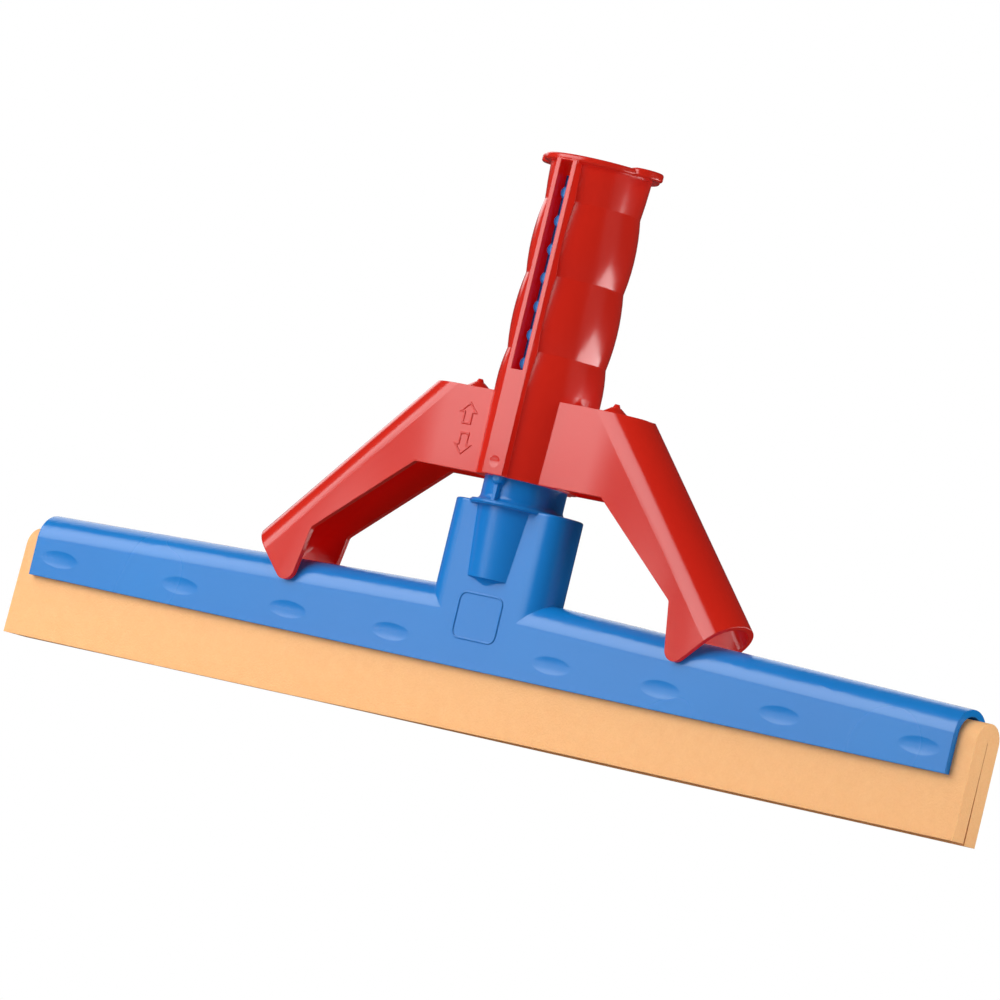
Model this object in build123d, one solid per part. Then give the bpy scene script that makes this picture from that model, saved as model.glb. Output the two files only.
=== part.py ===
"""Floor squeegee head with a sliding cloth clamp.

Three moulded pieces: a rigid head that ends in a handle socket, a folded foam rubber
blade held in the head's channel, and a clamp sleeve that slides up and down the socket.

Frame: millimetres, +Z up the handle axis, +X along the head, -Y the front.
Origin: on the handle axis, in the plane of the blade's wiping edge.
"""
from build123d import *
import os
from math import hypot

# ---- lengths that only matter while shapes are joined and cut ------------------------
overlap = 0.5      # how deep a shape is sunk into the one that it joins
overshoot = 12.0   # how far a cutting shape runs past the faces that it opens
beyond = 300.0     # farther out than any part of the object

# ---- blade -------------------------------------------------------------------------
blade_length = 421.0
blade_half_thickness = 6.6
blade_top_z = 41.4

# ---- blade channel (inverted U, deeper at the middle than at its ends) ---------------
channel_half_length = 203.0
channel_half_thickness = 9.05
channel_wall = 2.4
channel_bottom_z = 22.0
channel_top_z_middle = 50.3
channel_top_z_end = 44.75
barb_positions = (35.7, 82.7, 133.0, 190.5)
barb_z = 29.2
barb_length = 12.0
barb_depth = 0.7
barb_lead_in = 1.2
barb_shelf = 1.0
sink_mark_depth = 0.25
sink_mark_half_length = 8.5
sink_mark_half_height = 3.0

# ---- socket block on the channel -----------------------------------------------------
block_centre_x = 16.65
block_root_z = 37.0
block_top_z = 79.6
block_edge_radius = 0.8
collar_radius = 17.7
collar_thickness = 1.7
collar_edge_radius = 0.5
collar_top_z = 80.0
boss_top_radius = 14.56
boss_foot_radius = 12.38
boss_bottom_z = 49.9
boss_foot_round = 3.6

# ---- neck tube and its detent ribs ---------------------------------------------------
neck_radius = 14.5
neck_top_z = 194.0
neck_root_fillet = 1.9
socket_radius = 12.1
socket_straight_bottom_z = 79.4
socket_taper_radius = 9.9
socket_bottom_z = 53.0
rib_half_width = 0.8
rib_face_y = 16.3
rib_top_z = 192.6
stud_radius = 2.3
stud_face_y = 17.2
stud_edge_radius = 1.1
stud_pitch = 10.0
stud_count = 11
stud_first_z = 87.8

# ---- maker's-plate border on the front of the head -----------------------------------
plate_width = 19.2
plate_height = 16.4
plate_centre_z = 40.0
plate_corner_radius = 3.0
plate_line_width = 0.5
plate_relief = 0.3

# ---- clamp sleeve: tube, finger grips, flange ----------------------------------------
sleeve_bottom_z = 88.35
sleeve_bore_radius = 14.6
sleeve_bottom_radius = 17.75
grip_full_z = 120.5
grip_full_radius = 18.4
# each finger groove: height, radius at the groove, crown height and crown radius above it
finger_grooves = ((132.6, 17.3), (159.2, 17.15), (185.4, 16.8))
finger_crowns = ((146.5, 18.3), (173.0, 18.07))
first_finger_sag = 0.22
last_finger_swell = 0.12
sleeve_neck_radius_under_flange = 17.7
flange_bottom_z = 198.6
flange_top_z = 201.0
flange_radius = 20.3
flange_edge_radius = 0.9
ear_reach_x = 25.0
ear_half_width = 6.4
ear_rise = 0.7
ear_slope_start_x = 13.0
ear_slope_end_x = 19.5

# ---- clamp sleeve: detent rails -------------------------------------------------------
rail_half_width = 4.4
rail_face_y = 20.1
groove_half_width = 3.15
groove_floor_y = 17.6
slot_half_width = 2.5
slot_bottom_z = 125.1
slot_top_z = 198.6
detent_z = 92.8
detent_height = 0.25
detent_thickness = 2.0
rail_sink_radius = 9.0
rail_sink_depth = 0.25

# ---- clamp sleeve: arms ----------------------------------------------------------------
arm_half_width = 11.2
arm_wall = 1.9
arm_top_z = 117.5
arm_root_x = 10.6
ridge_axis_top = (37.0, 110.6)
ridge_axis_foot = (97.25, 48.0)
arm_elbow = (41.2, 88.35)
arm_bend = (79.2, 58.8)
claw_inner_slope = 0.1875
claw_tip_radius = 4.2
elbow_radius = 1.2
bend_radius = 1.8
shoulder_radius = 1.5
gate_x = 30.2
gate_base_radius = 5.2
gate_top_radius = 1.7
gate_height = 2.5
gate_pip_radius = 1.4
gate_pip_tip_radius = 0.8
gate_pip_height = 1.2

# ---- arrows on the left arm ------------------------------------------------------------
arrow_line = 0.55
arrow_relief = 0.25
arrow_half_head_width = 4.0
arrow_half_shaft_width = 1.95
arrow_head_length = 3.8
arrow_shaft_length = 4.0
open_arrow_centre = (-22.9, 108.2)
close_arrow_centre = (-22.4, 97.3)


def prism_xz(points, half_width, rounds=()):
    """Extrude an XZ outline to both sides of the mid plane; rounds are (point, radius)."""
    outline = make_face(Polyline(*[(x, 0, z) for x, z in points], close=True))
    for (x, z), radius in rounds:
        corner = outline.vertices().sort_by_distance((x, 0, z))[0]
        outline = fillet(corner, radius)
    return extrude(outline, half_width, dir=(0, 1, 0), both=True)


def revolve_rz(profile):
    """Revolve a closed profile drawn as (radius, height) about the Z axis."""
    return revolve(Plane.XZ * make_face(profile), Axis.Z, 360)


def block_box(x0, x1, y0, y1, z0, z1):
    """Axis-aligned box from its low and high faces."""
    centre = ((x0 + x1) / 2, (y0 + y1) / 2, (z0 + z1) / 2)
    return Pos(*centre) * Box(x1 - x0, y1 - y0, z1 - z0)


def both_faces(shape):
    """The shape and its copy on the back of the object."""
    return shape + mirror(shape, Plane.XZ)


# ---- head -------------------------------------------------------------------------------

def channel_run(half_thickness, top_offset, half_length):
    """Round-topped bar whose crest falls from the middle to each end."""
    crest = channel_top_z_middle - top_offset
    low = channel_bottom_z - overshoot
    spring = crest - half_thickness
    section = make_face(
        Curve() + [
            Line((0, -half_thickness, low), (0, -half_thickness, spring)),
            ThreePointArc((0, -half_thickness, spring), (0, 0, crest), (0, half_thickness, spring)),
            Line((0, half_thickness, spring), (0, half_thickness, low)),
            Line((0, half_thickness, low), (0, -half_thickness, low)),
        ]
    )
    fall = (channel_top_z_middle - channel_top_z_end) * half_length / channel_half_length
    half = extrude(section, hypot(half_length, fall), dir=(half_length, 0, -fall))
    return half + mirror(half, Plane.YZ)


def channel():
    """Solid bar that the blade's cavity is cut from."""
    bar = channel_run(channel_half_thickness, 0.0, channel_half_length)
    return bar - block_box(-beyond, beyond, -beyond, beyond, -beyond, channel_bottom_z)


def channel_cavity():
    """Space for the blade, open below and at both ends."""
    return channel_run(channel_half_thickness - channel_wall, channel_wall, channel_half_length + overshoot)


def barb(x):
    """Small tooth inside the front wall that bites the blade."""
    inner = -(channel_half_thickness - channel_wall)
    section = make_face(Polyline(
        (x - barb_length / 2, inner - overlap, barb_z - barb_lead_in),
        (x - barb_length / 2, inner + barb_depth, barb_z + barb_shelf),
        (x - barb_length / 2, inner - overlap, barb_z + barb_shelf),
        close=True,
    ))
    return extrude(section, barb_length, dir=(1, 0, 0))


def sink_mark(x):
    """Shallow oval hollow on the outside of the front wall, opposite a barb."""
    sweep_radius = sink_mark_half_length ** 2 / (2 * sink_mark_depth)
    tube_radius = sink_mark_half_height ** 2 / (2 * sink_mark_depth)
    ring = sweep_radius - tube_radius
    centre_y = -(channel_half_thickness - sink_mark_depth) - sweep_radius
    return Pos(x, centre_y, barb_z) * Torus(ring, tube_radius)


def socket_block():
    """Upright block with rounded ends, its faces flush with the channel."""
    half = channel_half_thickness
    plan = Pos(0, 0, block_root_z) * SlotCenterToCenter(2 * block_centre_x, 2 * half)
    block = extrude(plan, block_top_z - block_root_z)
    return fillet(block.edges().group_by(Axis.Z)[-1], block_edge_radius)


def socket_boss():
    """Tapered socket wall that bulges from the front and back of the block."""
    top = collar_top_z - collar_thickness / 2
    foot = boss_foot_round
    foot_z = boss_bottom_z + foot
    return revolve_rz(Curve() + [
        Line((0, boss_bottom_z), (boss_foot_radius - foot, boss_bottom_z)),
        RadiusArc((boss_foot_radius - foot, boss_bottom_z), (boss_foot_radius, foot_z), foot),
        Line((boss_foot_radius, foot_z), (boss_top_radius, top)),
        Line((boss_top_radius, top), (0, top)),
        Line((0, top), (0, boss_bottom_z)),
    ])


def neck():
    """Collar and neck tube, solid until the socket is bored."""
    root = neck_root_fillet
    edge = collar_edge_radius
    bottom = collar_top_z - collar_thickness
    return revolve_rz(Curve() + [
        Line((0, bottom), (collar_radius - edge, bottom)),
        RadiusArc((collar_radius - edge, bottom), (collar_radius, bottom + edge), edge),
        Line((collar_radius, bottom + edge), (collar_radius, collar_top_z - edge)),
        RadiusArc((collar_radius, collar_top_z - edge), (collar_radius - edge, collar_top_z), edge),
        Line((collar_radius - edge, collar_top_z), (neck_radius + root, collar_top_z)),
        RadiusArc((neck_radius + root, collar_top_z), (neck_radius, collar_top_z + root), root),
        Line((neck_radius, collar_top_z + root), (neck_radius, neck_top_z)),
        Line((neck_radius, neck_top_z), (0, neck_top_z)),
        Line((0, neck_top_z), (0, bottom)),
    ])


def detent_rib():
    """Front rib, a thin web with a row of wider round studs across it."""
    root_y = neck_radius - 2 * overlap
    rib = block_box(-rib_half_width, rib_half_width, -rib_face_y, -root_y,
                    collar_top_z - overlap, rib_top_z)
    length = stud_face_y - root_y
    blank = Cylinder(stud_radius, length)
    blank = fillet(blank.edges().group_by(Axis.Z)[-1], stud_edge_radius)
    stud = Rot(90, 0, 0) * blank
    for index in range(stud_count):
        z = stud_first_z + index * stud_pitch
        rib += Pos(0, -(root_y + length / 2), z) * stud
    return rib


def socket_bore():
    """Straight socket with a tapered seat at its foot."""
    return revolve_rz(Polyline(
        (0, socket_bottom_z),
        (socket_taper_radius, socket_bottom_z),
        (socket_radius, socket_straight_bottom_z),
        (socket_radius, neck_top_z + overshoot),
        (0, neck_top_z + overshoot),
        close=True,
    ))


def plate_border():
    """Plain raised border with nothing inside it."""
    frame = RectangleRounded(plate_width, plate_height, plate_corner_radius)
    inner_width = plate_width - 2 * plate_line_width
    inner_height = plate_height - 2 * plate_line_width
    frame -= RectangleRounded(inner_width, inner_height, plate_corner_radius - plate_line_width)
    front = Plane(origin=(0, -channel_half_thickness + overlap, plate_centre_z),
                  x_dir=(1, 0, 0), z_dir=(0, -1, 0))
    return extrude(front * frame, overlap + plate_relief)


def squeegee_head():
    head = channel() + socket_block() + socket_boss() + neck() + both_faces(detent_rib())
    head += plate_border()
    head -= socket_bore()
    head -= channel_cavity()
    for x in barb_positions:
        for side in (-1, 1):
            head += both_faces(barb(side * x))
            head -= both_faces(sink_mark(side * x))
    return head


# ---- blade ------------------------------------------------------------------------------

def rubber_blade():
    """Strip folded once at the top, drawn closed."""
    half = blade_half_thickness
    spring = blade_top_z - half
    section = make_face(Curve() + [
        Line((0, -half, 0), (0, -half, spring)),
        ThreePointArc((0, -half, spring), (0, 0, blade_top_z), (0, half, spring)),
        Line((0, half, spring), (0, half, 0)),
        Line((0, half, 0), (0, -half, 0)),
    ])
    return extrude(section, blade_length / 2, dir=(1, 0, 0), both=True)


# ---- clamp sleeve -------------------------------------------------------------------------

def grip_tube():
    """Tube whose outside swells between finger grooves."""
    (z1, r1), (z2, r2), (z3, r3) = finger_grooves
    (c1z, c1r), (c2z, c2r) = finger_crowns
    low_swell_z = (grip_full_z + z1) / 2
    low_swell_r = grip_full_radius - first_finger_sag
    under = (sleeve_neck_radius_under_flange, flange_bottom_z)
    top_swell_z = (z3 + flange_bottom_z) / 2
    top_swell_r = (r3 + sleeve_neck_radius_under_flange) / 2 + last_finger_swell
    return revolve_rz(Curve() + [
        Line((0, sleeve_bottom_z), (sleeve_bottom_radius, sleeve_bottom_z)),
        Line((sleeve_bottom_radius, sleeve_bottom_z), (grip_full_radius, grip_full_z)),
        ThreePointArc((grip_full_radius, grip_full_z), (low_swell_r, low_swell_z), (r1, z1)),
        ThreePointArc((r1, z1), (c1r, c1z), (r2, z2)),
        ThreePointArc((r2, z2), (c2r, c2z), (r3, z3)),
        ThreePointArc((r3, z3), (top_swell_r, top_swell_z), under),
        Line(under, (0, flange_bottom_z)),
        Line((0, flange_bottom_z), (0, sleeve_bottom_z)),
    ])


def flange():
    """Round lip at the top of the sleeve with a thicker, raised ear at each side."""
    disc = extrude(Pos(0, 0, flange_bottom_z) * Circle(flange_radius), flange_top_z - flange_bottom_z)
    disc = fillet(disc.edges(), flange_edge_radius)
    lobe_x = ear_reach_x - ear_half_width
    plan = Pos(lobe_x, 0) * Circle(ear_half_width)
    plan += Pos(lobe_x / 2, 0) * Rectangle(lobe_x, 2 * ear_half_width)
    ear_top_z = flange_top_z + ear_rise
    ear = extrude(Pos(0, 0, flange_bottom_z) * plan, ear_top_z - flange_bottom_z)
    ear = fillet(ear.edges().group_by(Axis.Z)[-1] + ear.edges().group_by(Axis.Z)[0], flange_edge_radius)
    # the top of the ear climbs from inside the lip to its full thickness
    start_z = flange_top_z - flange_edge_radius
    high_z = ear_top_z + overshoot
    ear -= prism_xz([(ear_slope_start_x, start_z), (ear_slope_end_x, ear_top_z), (ear_slope_end_x, high_z),
                     (-overlap, high_z), (-overlap, start_z)], 2 * ear_half_width)
    return disc + ear + mirror(ear, Plane.YZ)


def rail():
    """Front rail, with its inner groove and see-through slot left to cut."""
    return block_box(-rail_half_width, rail_half_width, -rail_face_y, -sleeve_bore_radius,
                     sleeve_bottom_z, flange_bottom_z + overlap)


def rail_cut():
    """Groove for the rib, slot that shows the studs, and the sink mark outside the detent."""
    groove = block_box(-groove_half_width, groove_half_width, -groove_floor_y, 0,
                       sleeve_bottom_z - overshoot, flange_top_z + overshoot)
    slot = block_box(-slot_half_width, slot_half_width, -rail_face_y - overshoot, -groove_floor_y + overlap,
                     slot_bottom_z, slot_top_z)
    sink_y = -(rail_face_y - rail_sink_depth) - rail_sink_radius
    sink = Pos(0, sink_y, detent_z) * Sphere(rail_sink_radius)
    return groove + slot + sink


def detent():
    """Low ridge on the groove floor that sits between two studs."""
    return block_box(-groove_half_width - overlap, groove_half_width + overlap,
                     -groove_floor_y - overlap, -groove_floor_y + detent_height,
                     detent_z - detent_thickness / 2, detent_z + detent_thickness / 2)


def arm():
    """Right arm: a U section open inwards, with a round back and a claw at its foot."""
    run_x = ridge_axis_foot[0] - ridge_axis_top[0]
    run_z = ridge_axis_foot[1] - ridge_axis_top[1]
    run = hypot(run_x, run_z)
    along = (run_x / run, run_z / run)
    out = (-along[1], along[0])

    def at(point, down, outward):
        return (point[0] + down * along[0] + outward * out[0],
                point[1] + down * along[1] + outward * out[1])

    ridge_foot = at(ridge_axis_foot, 0, arm_half_width)
    ridge_top = at(ridge_axis_top, 0, arm_half_width)
    climb = (ridge_top[1] - arm_top_z) / along[1]
    shoulder = (ridge_top[0] - climb * along[0], arm_top_z)
    # the claw's inner edge leans outwards on its way down to meet the square-cut foot
    gap_x = ridge_axis_foot[0] - arm_bend[0]
    gap_z = arm_bend[1] - ridge_axis_foot[1]
    reach = (gap_x - gap_z * claw_inner_slope) / (out[0] + out[1] * claw_inner_slope)
    tip = at(ridge_axis_foot, 0, -reach)
    outline = [(arm_root_x, arm_top_z), shoulder, ridge_foot, tip, arm_bend, arm_elbow,
               (arm_root_x, sleeve_bottom_z)]
    rounds = [(tip, claw_tip_radius), (arm_bend, bend_radius), (arm_elbow, elbow_radius),
              (shoulder, shoulder_radius)]
    body = prism_xz(outline, arm_half_width, rounds)

    def bar(radius, extra):
        start = at(ridge_axis_top, -extra, 0)
        plane = Plane(origin=(start[0], 0, start[1]), z_dir=(along[0], 0, along[1]))
        return extrude(plane * Circle(radius), run + 2 * extra)

    def beyond_axis(half_width, extra):
        corners = [at(ridge_axis_top, -extra, 0), at(ridge_axis_foot, extra, 0),
                   at(ridge_axis_foot, extra, 2 * arm_half_width),
                   at(ridge_axis_top, -extra, 2 * arm_half_width)]
        return prism_xz(corners, half_width)

    body -= beyond_axis(2 * arm_half_width, run) - bar(arm_half_width, 2 * run)

    inner_half = arm_half_width - arm_wall
    top_inside = arm_top_z - arm_wall
    above = block_box(-beyond, beyond, -beyond, beyond, top_inside, beyond)
    hollow = prism_xz([at(ridge_axis_top, -run, 0), at(ridge_axis_foot, run, 0),
                       at(ridge_axis_foot, run, -2 * run), at(ridge_axis_top, -run, -2 * run)], inner_half)
    hollow = hollow + bar(inner_half, run) - above
    body -= hollow
    gate = Pos(gate_x, 0, arm_top_z + gate_height / 2) * Cone(gate_base_radius, gate_top_radius, gate_height)
    pip = Cone(gate_pip_radius, gate_pip_tip_radius, gate_pip_height)
    return body + gate + Pos(gate_x, 0, arm_top_z + gate_height + gate_pip_height / 2) * pip


def arrow(centre, up):
    """Raised outline of a plain block arrow on the front of the left arm."""
    way = 1 if up else -1
    head = arrow_half_head_width
    shaft = arrow_half_shaft_width
    points = [(0, arrow_head_length), (head, 0), (shaft, 0), (shaft, -arrow_shaft_length),
              (-shaft, -arrow_shaft_length), (-shaft, 0), (-head, 0)]
    solid = make_face(Polyline(*[(x, way * z) for x, z in points], close=True))
    ring = solid - offset(solid, -arrow_line)
    face = Plane(origin=(centre[0], -arm_half_width + overlap, centre[1]),
                 x_dir=(1, 0, 0), z_dir=(0, -1, 0))
    return extrude(face * ring, overlap + arrow_relief)


def clamp_sleeve():
    right = arm()
    sleeve = grip_tube() + flange() + both_faces(rail()) + right + mirror(right, Plane.YZ)
    bore_length = flange_top_z - sleeve_bottom_z + 2 * overshoot
    bore = Pos(0, 0, (sleeve_bottom_z + flange_top_z) / 2) * Cylinder(sleeve_bore_radius, bore_length)
    sleeve = sleeve - bore - both_faces(rail_cut())
    sleeve += both_faces(detent())
    sleeve += arrow(open_arrow_centre, True)
    sleeve += arrow(close_arrow_centre, False)
    return sleeve


def write(node, shape):
    solids = shape.solids()
    print(node, "solids", len(solids), "volume mm3", round(sum(s.volume for s in solids)))
    export_step(shape, os.path.join("parts", node + ".step"))


os.makedirs("parts", exist_ok=True)
write("squeegee_head", squeegee_head())
write("rubber_blade", rubber_blade())
write("clamp_sleeve", clamp_sleeve())
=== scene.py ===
# %% [markdown]
# # A floor squeegee head with a sliding cloth clamp
# This lesson dresses a finished CAD model of a squeegee head. The head is one glossy blue moulding:
# a channel that grips the blade, and a tube that takes a broom handle. A red sleeve slides along that
# tube, and its two arms pin a cloth on the channel. The blade is one strip of foam rubber, folded once.
#
# The CAD model stays as it is. Here it gets its plastics, its soft blade, its light and its camera.

import math

import bmesh
import bpy
from mathutils import Matrix, Vector


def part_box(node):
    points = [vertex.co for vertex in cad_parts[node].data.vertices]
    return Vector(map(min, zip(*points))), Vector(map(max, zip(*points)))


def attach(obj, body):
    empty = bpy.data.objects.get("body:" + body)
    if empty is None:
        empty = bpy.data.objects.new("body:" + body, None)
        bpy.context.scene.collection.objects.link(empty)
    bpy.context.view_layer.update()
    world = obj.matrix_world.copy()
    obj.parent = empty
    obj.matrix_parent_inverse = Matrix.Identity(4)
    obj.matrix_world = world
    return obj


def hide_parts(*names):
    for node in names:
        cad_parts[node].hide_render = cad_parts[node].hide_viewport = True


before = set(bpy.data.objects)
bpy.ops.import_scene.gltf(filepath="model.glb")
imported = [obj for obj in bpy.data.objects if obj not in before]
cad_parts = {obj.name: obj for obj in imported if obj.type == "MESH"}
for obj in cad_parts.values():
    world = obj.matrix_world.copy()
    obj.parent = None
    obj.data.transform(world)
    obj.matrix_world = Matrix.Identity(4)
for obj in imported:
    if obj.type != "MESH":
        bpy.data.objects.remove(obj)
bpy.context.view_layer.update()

# %% [markdown]
# ## Shared effects as node groups
# Both plastics were moulded the same way, so they share four effects: a skin that is never quite flat,
# walls that bow a little, edges with a small radius and a painted highlight, and a painted glow in
# slots and hollows. Each effect is a node group with named sockets, so that each material can use it
# with its own values. The shader itself stays in the material.


# %% A small helper for node groups
def new_group(name, inputs, outputs):
    """An empty shader group with float or vector sockets, and its two end nodes."""
    group = bpy.data.node_groups.new(name, "ShaderNodeTree")
    for socket, kind, default in inputs:
        made = group.interface.new_socket(socket, in_out="INPUT", socket_type=kind)
        made.default_value = default
    for socket, kind in outputs:
        group.interface.new_socket(socket, in_out="OUTPUT", socket_type=kind)
    start = group.nodes.new("NodeGroupInput")
    end = group.nodes.new("NodeGroupOutput")
    return group, start, end


def add_math(nodes, links, operation, first, second, clamp=False):
    """A Math node whose two inputs are sockets or plain numbers."""
    node = nodes.new("ShaderNodeMath")
    node.operation = operation
    node.use_clamp = clamp
    for socket, value in zip(node.inputs, (first, second)):
        if isinstance(value, (int, float)):
            socket.default_value = value
        else:
            links.new(value, socket)
    return node.outputs[0]


def add_noise(nodes, links, vector, scale, detail=2.0, roughness=0.5):
    """A Noise texture; scale is a socket or a number of features per metre."""
    node = nodes.new("ShaderNodeTexNoise")
    node.inputs["Detail"].default_value = detail
    node.inputs["Roughness"].default_value = roughness
    links.new(vector, node.inputs["Vector"])
    if isinstance(scale, (int, float)):
        node.inputs["Scale"].default_value = scale
    else:
        links.new(scale, node.inputs["Scale"])
    return node.outputs["Fac"]


# %% [markdown]
# ### Mould skin
# Large flat walls sink a little as they cool, so their reflections bend in slow ripples. On top of that
# the mould leaves a skin far finer than a millimetre. One height carries both, for a Bump node.


# %% Mould skin
FLOAT = "NodeSocketFloat"
VECTOR = "NodeSocketVector"


def mould_skin():
    """Height in metres, and the slow ripple itself as a mask for the pigment."""
    group, start, end = new_group(
        "mould_skin",
        [("Ripples per Metre", FLOAT, 30.0), ("Ripple Height", FLOAT, 0.0001),
         ("Grain per Metre", FLOAT, 2500.0), ("Grain Height", FLOAT, 0.000002)],
        [("Height", FLOAT), ("Clouds", FLOAT)])
    nodes, links = group.nodes, group.links
    place = nodes.new("ShaderNodeTexCoord").outputs["Object"]
    ripple = add_noise(nodes, links, place, start.outputs["Ripples per Metre"], detail=1.0)
    grain = add_noise(nodes, links, place, start.outputs["Grain per Metre"], detail=2.0)
    slow = add_math(nodes, links, "MULTIPLY", ripple, start.outputs["Ripple Height"])
    fine = add_math(nodes, links, "MULTIPLY", grain, start.outputs["Grain Height"])
    links.new(add_math(nodes, links, "ADD", slow, fine), end.inputs["Height"])
    links.new(ripple, end.inputs["Clouds"])
    return group


# %% [markdown]
# ### Warped walls
# A long thin wall also bows as it cools. The bow can't be seen as shape, but it tips the mirrored light
# up or down, so the gloss comes and goes along the wall. This group leans the normal back a little
# everywhere except around one distance from the middle, where the wall stays true.


# %% Warped walls
def warped_wall():
    """Leans a normal upwards on front and back walls, except near one distance from the middle."""
    group, start, end = new_group(
        "warped_wall",
        [("Normal", VECTOR, (0, 0, 1)), ("True Distance", FLOAT, 0.06), ("Half Width", FLOAT, 0.03),
         ("Lean", FLOAT, 0.05)],
        [("Normal", VECTOR)])
    nodes, links = group.nodes, group.links
    split = nodes.new("ShaderNodeSeparateXYZ")
    links.new(nodes.new("ShaderNodeTexCoord").outputs["Object"], split.inputs[0])
    away = add_math(nodes, links, "ABSOLUTE", split.outputs["X"], 0.0)
    offset = add_math(nodes, links, "SUBTRACT", away, start.outputs["True Distance"])
    part = add_math(nodes, links, "DIVIDE", offset, start.outputs["Half Width"])
    bowed = add_math(nodes, links, "MULTIPLY", part, part, clamp=True)
    facing = nodes.new("ShaderNodeSeparateXYZ")
    links.new(start.outputs["Normal"], facing.inputs[0])
    front = add_math(nodes, links, "ABSOLUTE", facing.outputs["Y"], 0.0)
    mask = add_math(nodes, links, "MULTIPLY", bowed, add_math(nodes, links, "POWER", front, 6.0))
    up = nodes.new("ShaderNodeCombineXYZ")
    links.new(add_math(nodes, links, "MULTIPLY", mask, start.outputs["Lean"]), up.inputs["Z"])
    lean = nodes.new("ShaderNodeVectorMath")
    lean.operation = "ADD"
    links.new(start.outputs["Normal"], lean.inputs[0])
    links.new(up.outputs[0], lean.inputs[1])
    unit = nodes.new("ShaderNodeVectorMath")
    unit.operation = "NORMALIZE"
    links.new(lean.outputs[0], unit.inputs[0])
    links.new(unit.outputs[0], end.inputs["Normal"])
    return group


# %% [markdown]
# ### Soft edges
# No moulded edge is knife sharp. The Bevel node blends the normals on both sides of an edge, which
# catches a thin highlight. Where the blended and the true normal differ there is an edge, and that
# difference makes a mask for a painted highlight: a paler colour laid along the edge.


# %% Soft edges
def soft_edge():
    """A rounded normal, and a mask that is 1 along edges."""
    group, start, end = new_group(
        "soft_edge", [("Radius", FLOAT, 0.0005), ("Sharpness", FLOAT, 4.0)],
        [("Normal", VECTOR), ("Edge", FLOAT)])
    nodes, links = group.nodes, group.links
    bevel = nodes.new("ShaderNodeBevel")
    bevel.samples = 6
    links.new(start.outputs["Radius"], bevel.inputs["Radius"])
    true_normal = nodes.new("ShaderNodeNewGeometry").outputs["Normal"]
    dot = nodes.new("ShaderNodeVectorMath")
    dot.operation = "DOT_PRODUCT"
    links.new(bevel.outputs["Normal"], dot.inputs[0])
    links.new(true_normal, dot.inputs[1])
    turn = add_math(nodes, links, "SUBTRACT", 1.0, dot.outputs["Value"])
    mask = add_math(nodes, links, "MULTIPLY", turn, start.outputs["Sharpness"], clamp=True)
    links.new(bevel.outputs["Normal"], end.inputs["Normal"])
    links.new(mask, end.inputs["Edge"])
    return group


# %% [markdown]
# ### Painted glow in hollows
# Slots and the space under the arms get a faint painted glow in the pure pigment colour. It stands in
# for light that passes through the thin walls. The Ambient Occlusion node tells how shut in a spot is.


# %% Painted glow in hollows
def shut_in():
    """A mask that is 0 in the open and rises towards 1 in slots, hollows and corners."""
    group, start, end = new_group("shut_in", [("Reach", FLOAT, 0.01)], [("Shut", FLOAT)])
    nodes, links = group.nodes, group.links
    occlusion = nodes.new("ShaderNodeAmbientOcclusion")
    occlusion.samples = 6
    links.new(start.outputs["Reach"], occlusion.inputs["Distance"])
    shut = add_math(nodes, links, "SUBTRACT", 1.0, occlusion.outputs["AO"], clamp=True)
    links.new(shut, end.inputs["Shut"])
    return group


MOULD_SKIN = mould_skin()
WARPED_WALL = warped_wall()
SOFT_EDGE = soft_edge()
SHUT_IN = shut_in()
print("groups", [group.name for group in bpy.data.node_groups])

# %% [markdown]
# ## The two plastics
# Both are polypropylene with a polished finish. A pigment is never even, so the base colour drifts
# between two close tones. Edges get a painted highlight, a paler colour, and shut-in spots get a faint
# painted glow. Only the colours, the ripple, the bow and the gloss differ, so one recipe serves both,
# called with each plastic's own values.


# %% A recipe for moulded plastic
def use_group(nodes, group, **values):
    """Places a group in a material; an underscore in a keyword stands for a space in the socket's name."""
    node = nodes.new("ShaderNodeGroup")
    node.node_tree = group
    for socket, value in values.items():
        node.inputs[socket.replace("_", " ")].default_value = value
    return node


def mix_colour(nodes, links, factor, first, second):
    """Mix two colours; each is a socket or a plain linear colour."""
    node = nodes.new("ShaderNodeMix")
    node.data_type = "RGBA"
    links.new(factor, node.inputs[0])
    sockets = [s for s in node.inputs if s.type == "RGBA"]
    for socket, value in zip(sockets, (first, second)):
        if isinstance(value, tuple):
            socket.default_value = (*value, 1.0)
        else:
            links.new(value, socket)
    return [s for s in node.outputs if s.type == "RGBA"][0]


RIPPLES_PER_METRE = 18.0
GRAIN_PER_METRE = 2600.0
GRAIN_HEIGHT = 0.0000004
EDGE_RADIUS = 0.00045
EDGE_PALENESS = 0.35
ROUGHNESS_DRIFT = 0.08
WALL_REACH = 0.02


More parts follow.
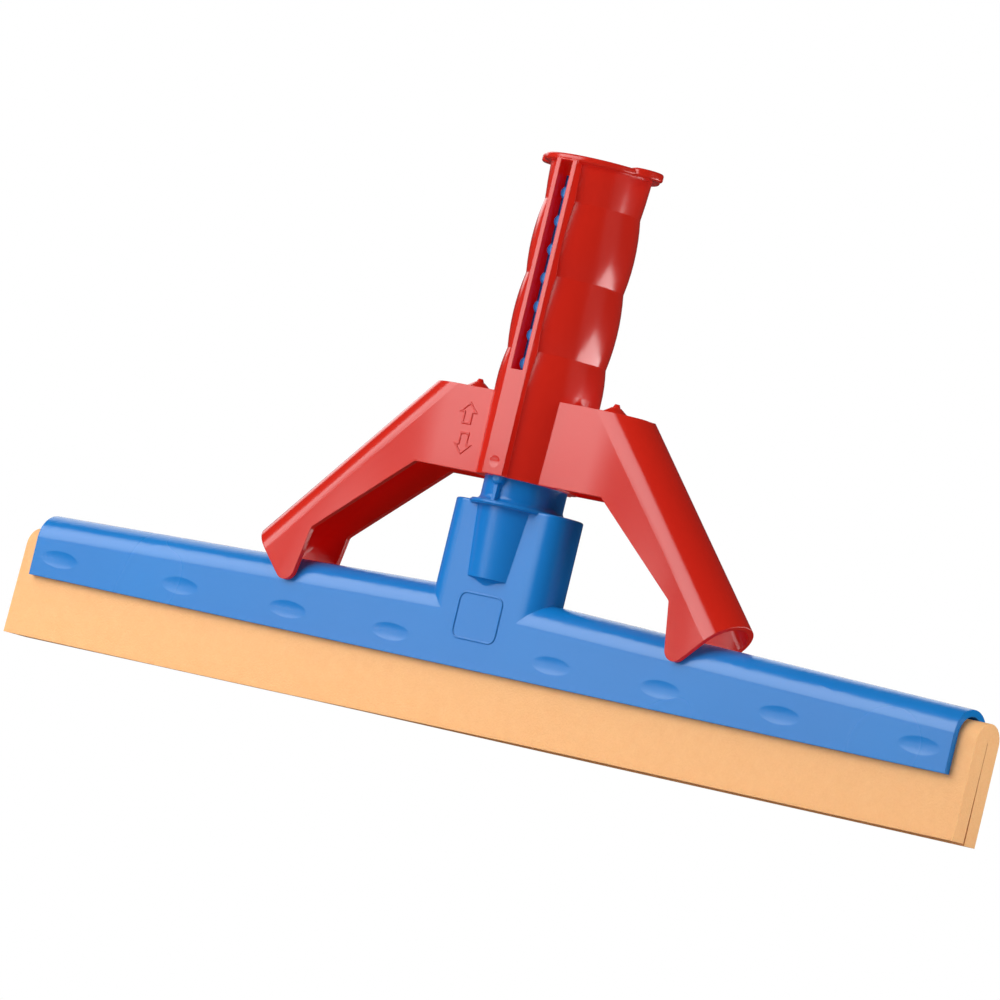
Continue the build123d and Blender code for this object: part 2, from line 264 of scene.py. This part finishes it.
def moulded_plastic(name, deep, bright, edge_highlight_colour, gloss_roughness, ripple_height,
                    true_distance, half_width, lean, painted_glow_colour):
    """Glossy coloured plastic; colours are linear, lengths are metres."""
    material = bpy.data.materials.new(name)
    material.use_nodes = True
    nodes, links = material.node_tree.nodes, material.node_tree.links
    shader = nodes["Principled BSDF"]
    shader.inputs["IOR"].default_value = 1.5
    shader.inputs["Specular IOR Level"].default_value = 0.5
    skin = use_group(nodes, MOULD_SKIN, Ripples_per_Metre=RIPPLES_PER_METRE, Ripple_Height=ripple_height,
                     Grain_per_Metre=GRAIN_PER_METRE, Grain_Height=GRAIN_HEIGHT)
    edge = use_group(nodes, SOFT_EDGE, Radius=EDGE_RADIUS, Sharpness=3.0)
    pigment = mix_colour(nodes, links, skin.outputs["Clouds"], deep, bright)
    # Painted highlight: a paler colour laid along the edges by the soft edge mask.
    paler = add_math(nodes, links, "MULTIPLY", edge.outputs["Edge"], EDGE_PALENESS)
    colour = mix_colour(nodes, links, paler, pigment, edge_highlight_colour)
    links.new(colour, shader.inputs["Base Color"])
    drift = add_math(nodes, links, "MULTIPLY", skin.outputs["Clouds"], ROUGHNESS_DRIFT)
    rough = add_math(nodes, links, "ADD", drift, gloss_roughness - ROUGHNESS_DRIFT / 2)
    links.new(rough, shader.inputs["Roughness"])
    # Painted glow: slots and hollows emit the plastic's own colour faintly, standing in for light through
    # the thin walls.
    shut = use_group(nodes, SHUT_IN, Reach=WALL_REACH)
    glow = mix_colour(nodes, links, shut.outputs["Shut"], (0.0, 0.0, 0.0), painted_glow_colour)
    links.new(glow, shader.inputs["Emission Color"])
    shader.inputs["Emission Strength"].default_value = 1.0
    bump = nodes.new("ShaderNodeBump")
    bump.inputs["Strength"].default_value = 1.0
    bump.inputs["Distance"].default_value = 1.0
    links.new(skin.outputs["Height"], bump.inputs["Height"])
    links.new(edge.outputs["Normal"], bump.inputs["Normal"])
    warp = use_group(nodes, WARPED_WALL, True_Distance=true_distance, Half_Width=half_width, Lean=lean)
    links.new(bump.outputs["Normal"], warp.inputs["Normal"])
    links.new(warp.outputs["Normal"], shader.inputs["Normal"])
    return material


# In each plastic, the third colour is a painted edge highlight and the last is a painted glow for slots
# and hollows.
blue = moulded_plastic("blue_plastic", deep=(0.004, 0.160, 0.50), bright=(0.006, 0.20, 0.57),
                       edge_highlight_colour=(0.10, 0.30, 0.75), gloss_roughness=0.26, ripple_height=0.00030,
                       true_distance=0.14, half_width=0.12, lean=0.03, painted_glow_colour=(0.0, 0.004, 0.02))
red = moulded_plastic("red_plastic", deep=(0.50, 0.012, 0.006), bright=(0.62, 0.020, 0.008),
                      edge_highlight_colour=(0.75, 0.10, 0.07), gloss_roughness=0.17, ripple_height=0.00045,
                      true_distance=0.063, half_width=0.03, lean=0.06, painted_glow_colour=(0.24, 0.0, 0.0))
for node, material in (("squeegee_head", blue), ("clamp_sleeve", red)):
    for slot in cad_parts[node].material_slots:
        slot.material = material
    print(node, "wears", material.name)

# %% [markdown]
# ## Foam rubber
# The blade is cellular rubber, cut from a block, so its faces show fine open cells. It has no gloss at
# all. Two sizes of cell in the height and a faint mottle in the colour are enough at this scale.


# %% Foam rubber material
CELLS_PER_METRE = 1500.0
GRIT_PER_METRE = 1400.0
MOTTLE_PER_METRE = 260.0
CELL_DEPTH = 0.00005
GRIT_DEPTH = 0.00012


def foam_rubber():
    """Matt cellular rubber, with pits and grit as height and a mottle as colour."""
    material = bpy.data.materials.new("foam_rubber")
    material.use_nodes = True
    nodes, links = material.node_tree.nodes, material.node_tree.links
    shader = nodes["Principled BSDF"]
    shader.inputs["Roughness"].default_value = 0.9
    shader.inputs["Specular IOR Level"].default_value = 0.2
    shader.inputs["Subsurface Weight"].default_value = 0.12
    shader.inputs["Subsurface Radius"].default_value = (0.004, 0.002, 0.001)
    shader.inputs["Subsurface Scale"].default_value = 1.0
    place = nodes.new("ShaderNodeTexCoord").outputs["Object"]
    cells = nodes.new("ShaderNodeTexVoronoi")
    cells.inputs["Scale"].default_value = CELLS_PER_METRE
    links.new(place, cells.inputs["Vector"])
    mottle = add_noise(nodes, links, place, MOTTLE_PER_METRE, detail=4.0, roughness=0.65)
    grit = add_noise(nodes, links, place, GRIT_PER_METRE, detail=3.0, roughness=0.7)
    pits = add_math(nodes, links, "SUBTRACT", 1.0, cells.outputs["Distance"], clamp=True)
    warm = mix_colour(nodes, links, mottle, (0.90, 0.485, 0.215), (0.97, 0.565, 0.26))
    shade = add_math(nodes, links, "MULTIPLY", grit, 0.30)
    colour = mix_colour(nodes, links, shade, warm, (0.66, 0.27, 0.09))
    links.new(colour, shader.inputs["Base Color"])
    height = add_math(nodes, links, "ADD", add_math(nodes, links, "MULTIPLY", pits, CELL_DEPTH),
                      add_math(nodes, links, "MULTIPLY", grit, GRIT_DEPTH))
    bump = nodes.new("ShaderNodeBump")
    bump.inputs["Distance"].default_value = 1.0
    bump.inputs["Strength"].default_value = 1.0
    links.new(height, bump.inputs["Height"])
    links.new(bump.outputs["Normal"], shader.inputs["Normal"])
    return material


foam = foam_rubber()
print("foam material", foam.name)

# %% [markdown]
# ## The folded blade
# The real blade is a flat strip folded in two and pushed up into the channel. The fold makes the round
# top, and the two leaves meet along a slit that opens a little at the wiping edge. The strip is walked
# once: each station on it has an outer and an inner point, so the same list gives the long faces and
# the cut ends. Nothing that soft is quite straight, so both wiping edges wander by about a millimetre.

# %% The blade's section
low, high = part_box("rubber_blade")
HALF_THICKNESS = (high[1] - low[1]) / 2
TOP_Z = high[2]
HALF_LENGTH = (high[0] - low[0]) / 2
SLIT_AT_FOLD = 0.00012
SLIT_AT_EDGE = 0.0004
LEAF_STEPS = 18
FOLD_STEPS = 20


def leaf_pair(along, edge_z, spring_z, side):
    """Outer and inner point on one leaf; the slit closes towards the fold."""
    z = edge_z + (spring_z - edge_z) * along
    slit = SLIT_AT_EDGE + (SLIT_AT_FOLD - SLIT_AT_EDGE) * min(1.0, along * 1.3)
    return (side * HALF_THICKNESS, z), (side * slit, z)


def blade_section(front_edge_z, rear_edge_z, top_z):
    """Pairs of outer and inner points (y, z), from the front leaf's edge over the fold to the rear's."""
    spring_z = top_z - HALF_THICKNESS
    pairs = []
    for step in range(LEAF_STEPS):
        pairs.append(leaf_pair(step / LEAF_STEPS, front_edge_z, spring_z, -1))
    for step in range(FOLD_STEPS + 1):
        angle = math.pi * (1 - step / FOLD_STEPS)
        reach = (math.cos(angle), math.sin(angle))
        pairs.append(((HALF_THICKNESS * reach[0], spring_z + HALF_THICKNESS * reach[1]),
                      (SLIT_AT_FOLD * reach[0], spring_z + SLIT_AT_FOLD * reach[1])))
    for step in range(LEAF_STEPS - 1, -1, -1):
        pairs.append(leaf_pair(step / LEAF_STEPS, rear_edge_z, spring_z, 1))
    return pairs


# %% [markdown]
# The same section is placed at many stations along the blade. At its left end the strip sags a little
# and leans, and towards the right end it stands slightly clear of the floor.


# %% The blade's points
BLADE_STATIONS = 120
PAIRS = 2 * LEAF_STEPS + FOLD_STEPS + 1
WANDER = 0.00035
SAG_START_X = 0.175
END_SAG = 0.0022
END_LEAN = 0.0012
RIGHT_LIFT = 0.0009


def edge_wander(x, phase):
    """A slow wander of a wiping edge, never below the surface it wipes."""
    slow = math.sin(9.0 * x + phase) + 0.5 * math.sin(23.0 * x + 2.1 * phase)
    return WANDER * (1.5 + slow)


def station_points(station):
    """Outer and inner points in turn; stations crowd towards the ends, where the shape changes fastest."""
    even = station / BLADE_STATIONS * 2 - 1
    x = HALF_LENGTH * math.sin(even * math.pi / 2)
    left_end = max(0.0, (-x - SAG_START_X) / (HALF_LENGTH - SAG_START_X))
    lift = RIGHT_LIFT * (x / HALF_LENGTH + 1) / 2
    front_z = edge_wander(x, 0.4) * 0.6 + lift
    rear_z = edge_wander(x, 1.7) * 0.5 + lift * 0.5
    points = []
    for outer, inner in blade_section(front_z, rear_z, TOP_Z - END_SAG * left_end ** 2):
        lean = END_LEAN * left_end * outer[1] / TOP_Z
        points.append((x + lean, outer[0], outer[1]))
        points.append((x + lean, inner[0], inner[1]))
    return points


print("points at one station", len(station_points(0)))

# %% [markdown]
# Quads join each station to the next, on the outside and in the slit. Two more close the wiping edges,
# and a fan of quads between the outer and inner points closes each cut end.


# %% The blade's faces
def blade_faces():
    faces = []
    ring = 2 * PAIRS
    last = ring - 2
    for station in range(BLADE_STATIONS):
        here, there = station * ring, (station + 1) * ring
        for k in range(PAIRS - 1):
            a, b = here + 2 * k, there + 2 * k
            faces.append((a, a + 2, b + 2, b))
            faces.append((a + 1, b + 1, b + 3, a + 3))
        faces.append((here, there, there + 1, here + 1))
        faces.append((here + last, here + last + 1, there + last + 1, there + last))
    for k in range(PAIRS - 1):
        a, b = 2 * k, BLADE_STATIONS * ring + 2 * k
        faces.append((a, a + 1, a + 3, a + 2))
        faces.append((b, b + 2, b + 3, b + 1))
    return faces


def build_blade():
    verts = []
    for station in range(BLADE_STATIONS + 1):
        verts += station_points(station)
    mesh = bpy.data.meshes.new("folded_blade")
    mesh.from_pydata(verts, [], blade_faces())
    piece = bpy.data.objects.new("folded_blade", mesh)
    bpy.context.collection.objects.link(piece)
    return piece


blade = build_blade()
print("blade faces", len(blade.data.polygons))

# %% [markdown]
# A knife leaves foam with slightly round arrises, so a bevel rounds every sharp edge by a third of a
# millimetre. It is applied to the mesh, so that the shape is there in any other program too.


# %% Rounded arrises
ARRIS = 0.00035


def apply_modifiers(piece):
    """Bakes the modifiers into the mesh."""
    graph = bpy.context.evaluated_depsgraph_get()
    mesh = bpy.data.meshes.new_from_object(piece.evaluated_get(graph))
    piece.modifiers.clear()
    piece.data = mesh


def recalculate_normals(piece):
    """Turns every face outwards."""
    bm = bmesh.new()
    bm.from_mesh(piece.data)
    bmesh.ops.recalc_face_normals(bm, faces=bm.faces)
    bm.to_mesh(piece.data)
    bm.free()


recalculate_normals(blade)
round_over = blade.modifiers.new("arris", "BEVEL")
round_over.width = ARRIS
round_over.segments = 3
round_over.limit_method = "ANGLE"
round_over.angle_limit = math.radians(50)
apply_modifiers(blade)
for polygon in blade.data.polygons:
    polygon.use_smooth = True
blade.data.materials.append(foam)
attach(blade, "head")
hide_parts("rubber_blade")
print("blade faces after rounding", len(blade.data.polygons))

# %% [markdown]
# ## A floor to stand on
# The floor is a plain pale disc at the wiping edge. The camera stands a little lower than the floor, so
# the floor has one side only: from above it is solid, and from below it lets the eye through. Gloss
# doesn't mirror it, which keeps the two plastics' colours deep.


# %% Floor
FLOOR_RADIUS = 4.0


def one_sided_floor():
    """A disc that only its upper side shows."""
    bpy.ops.mesh.primitive_circle_add(vertices=96, radius=FLOOR_RADIUS, fill_type="NGON",
                                      location=(0, 0, 0))
    floor = bpy.context.object
    floor.name = "floor"
    material = bpy.data.materials.new("pale_floor")
    material.use_nodes = True
    nodes, links = material.node_tree.nodes, material.node_tree.links
    shader = nodes["Principled BSDF"]
    shader.inputs["Base Color"].default_value = (0.48, 0.48, 0.56, 1)
    shader.inputs["Roughness"].default_value = 0.6
    shader.inputs["Emission Color"].default_value = (1, 1, 1, 1)
    shader.inputs["Emission Strength"].default_value = 0.20
    see_through = nodes.new("ShaderNodeBsdfTransparent")
    mix = nodes.new("ShaderNodeMixShader")
    links.new(nodes.new("ShaderNodeNewGeometry").outputs["Backfacing"], mix.inputs["Fac"])
    links.new(shader.outputs["BSDF"], mix.inputs[1])
    links.new(see_through.outputs["BSDF"], mix.inputs[2])
    links.new(mix.outputs["Shader"], nodes["Material Output"].inputs["Surface"])
    floor.data.materials.append(material)
    floor.visible_glossy = False
    return floor


floor = one_sided_floor()
print("floor across", 2 * FLOOR_RADIUS, "m")

# %% [markdown]
# ## Light
# Gloss is only as good as what it mirrors. A big soft panel stands to the front left, where the flat
# front faces mirror it and turn pale. A low strip under it does the same for the claws and the channel.
# A panel at the back left is there for gloss alone, and draws the bright band along the channel's round
# top. Three more panels, in front, above and on the right, fill the shadows and are never mirrored.


# %% Panels of light
AIM = Vector((0.0, 0.0, 0.09))


def direction(azimuth, elevation):
    """Unit vector from the object; azimuth 0 is the front, and positive turns to the object's right."""
    a, e = math.radians(azimuth), math.radians(elevation)
    return Vector((math.sin(a) * math.cos(e), -math.cos(a) * math.cos(e), math.sin(e)))


def panel(name, centre, width, height, radiance, mirrored=True, lights=True):
    """A soft panel of light that faces the object; radiance 1 would look white."""
    data = bpy.data.lights.new(name, "AREA")
    data.shape = "RECTANGLE"
    data.size = width
    data.size_y = height
    data.energy = radiance * width * height * math.pi
    lamp = bpy.data.objects.new(name, data)
    bpy.context.collection.objects.link(lamp)
    way = (Vector(centre) - AIM).normalized()
    lamp.matrix_world = Matrix.Translation(centre) @ way.to_track_quat("Z", "Y").to_matrix().to_4x4()
    lamp.visible_camera = False
    lamp.visible_glossy = mirrored
    lamp.visible_diffuse = lights
    return lamp


panel("key_panel", (-0.78, -1.16, 0.735), width=1.60, height=0.95, radiance=4.6)
panel("low_panel", (-0.90, -1.25, 0.085), width=0.7, height=0.10, radiance=4.6)
panel("front_fill", (-0.60, -1.30, 0.22), width=0.9, height=0.4, radiance=3.0, mirrored=False)
panel("top_fill", (-0.45, -0.60, 1.50), width=1.0, height=1.0, radiance=1.3, mirrored=False)
panel("right_fill", (1.25, 0.10, 0.45), width=1.0, height=0.8, radiance=4.2, mirrored=False)
panel("back_panel", (-1.00, 0.75, 0.75), width=1.2, height=0.9, radiance=1.6, lights=False)

# %% [markdown]
# A panel is a rectangle, but the glints on the grips end in a point. They mirror the slanting top of a
# white card that stands low on the right. The card is a flat piece with five corners, and its shader
# glows. Light linking keeps it to the sleeve, so that the neck just below stays dark.


# %% A glowing card
def glow_card(name, corners, distance, centre, radiance, receiver):
    """A card with its corners at (azimuth, elevation) from the centre; only the receiver mirrors it."""
    mesh = bpy.data.meshes.new(name)
    points = [centre + direction(azimuth, elevation) * distance for azimuth, elevation in corners]
    mesh.from_pydata(points, [], [tuple(range(len(points)))])
    card = bpy.data.objects.new(name, mesh)
    bpy.context.collection.objects.link(card)
    material = bpy.data.materials.new(name)
    material.use_nodes = True
    shader = material.node_tree.nodes["Principled BSDF"]
    shader.inputs["Base Color"].default_value = (0, 0, 0, 1)
    shader.inputs["Emission Color"].default_value = (1, 1, 1, 1)
    shader.inputs["Emission Strength"].default_value = radiance
    mesh.materials.append(material)
    card.visible_camera = False
    card.visible_diffuse = False
    card.visible_shadow = False
    seen_by = bpy.data.collections.new(name + "_seen_by")
    seen_by.objects.link(receiver)
    card.light_linking.receiver_collection = seen_by
    return card


CARD_CORNERS = [(84, -12), (107, -1), (150, -8), (150, -25), (84, -25)]
card = glow_card("right_card", CARD_CORNERS, distance=0.5, centre=Vector((0, 0, 0.17)), radiance=8.0,
                 receiver=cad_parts["clamp_sleeve"])
print("card faces", len(card.data.polygons))

# %% [markdown]
# The room is white to the camera and almost dark to the object, so the panels alone shape it.

# %% The room
ROOM_STRENGTH = 0.04

world = bpy.data.worlds.new("white_room")
bpy.context.scene.world = world
world.use_nodes = True
world_nodes, world_links = world.node_tree.nodes, world.node_tree.links
room = world_nodes["Background"]
room.inputs["Color"].default_value = (1, 1, 1, 1)
room.inputs["Strength"].default_value = ROOM_STRENGTH
seen = world_nodes.new("ShaderNodeBackground")
seen.inputs["Strength"].default_value = 1.0
seen.inputs["Color"].default_value = (1, 1, 1, 1)
choose = world_nodes.new("ShaderNodeMixShader")
world_links.new(world_nodes.new("ShaderNodeLightPath").outputs["Is Camera Ray"], choose.inputs["Fac"])
world_links.new(room.outputs["Background"], choose.inputs[1])
world_links.new(seen.outputs["Background"], choose.inputs[2])
world_links.new(choose.outputs["Shader"], world_nodes["World Output"].inputs["Surface"])
bpy.context.scene.view_settings.view_transform = "Standard"
print("room strength", ROOM_STRENGTH)

# %% [markdown]
# ## Camera
# A long lens from far away keeps the long head almost free of perspective. The camera looks from the
# front right, very slightly upwards, and it is rolled, which makes the object lean to the right.

# %% Camera
CAMERA_AZIMUTH = 38.36
CAMERA_ELEVATION = -2.86
CAMERA_ROLL = 13.57
CAMERA_DISTANCE = 2.665
CAMERA_TARGET = Vector((-0.0096, 0.0, 0.0815))
FOCAL_LENGTH_MM = 279.94

camera_data = bpy.data.cameras.new("camera")
camera_data.lens = FOCAL_LENGTH_MM
camera_data.sensor_width = 36.0
camera_data.clip_end = 100.0
camera = bpy.data.objects.new("camera", camera_data)
bpy.context.collection.objects.link(camera)
back = direction(CAMERA_AZIMUTH, CAMERA_ELEVATION)
camera.matrix_world = (Matrix.Translation(CAMERA_TARGET + back * CAMERA_DISTANCE)
                       @ back.to_track_quat("Z", "Y").to_matrix().to_4x4()
                       @ Matrix.Rotation(math.radians(CAMERA_ROLL), 4, "Z"))
bpy.context.scene.camera = camera
print("camera at", [round(v, 3) for v in camera.location])
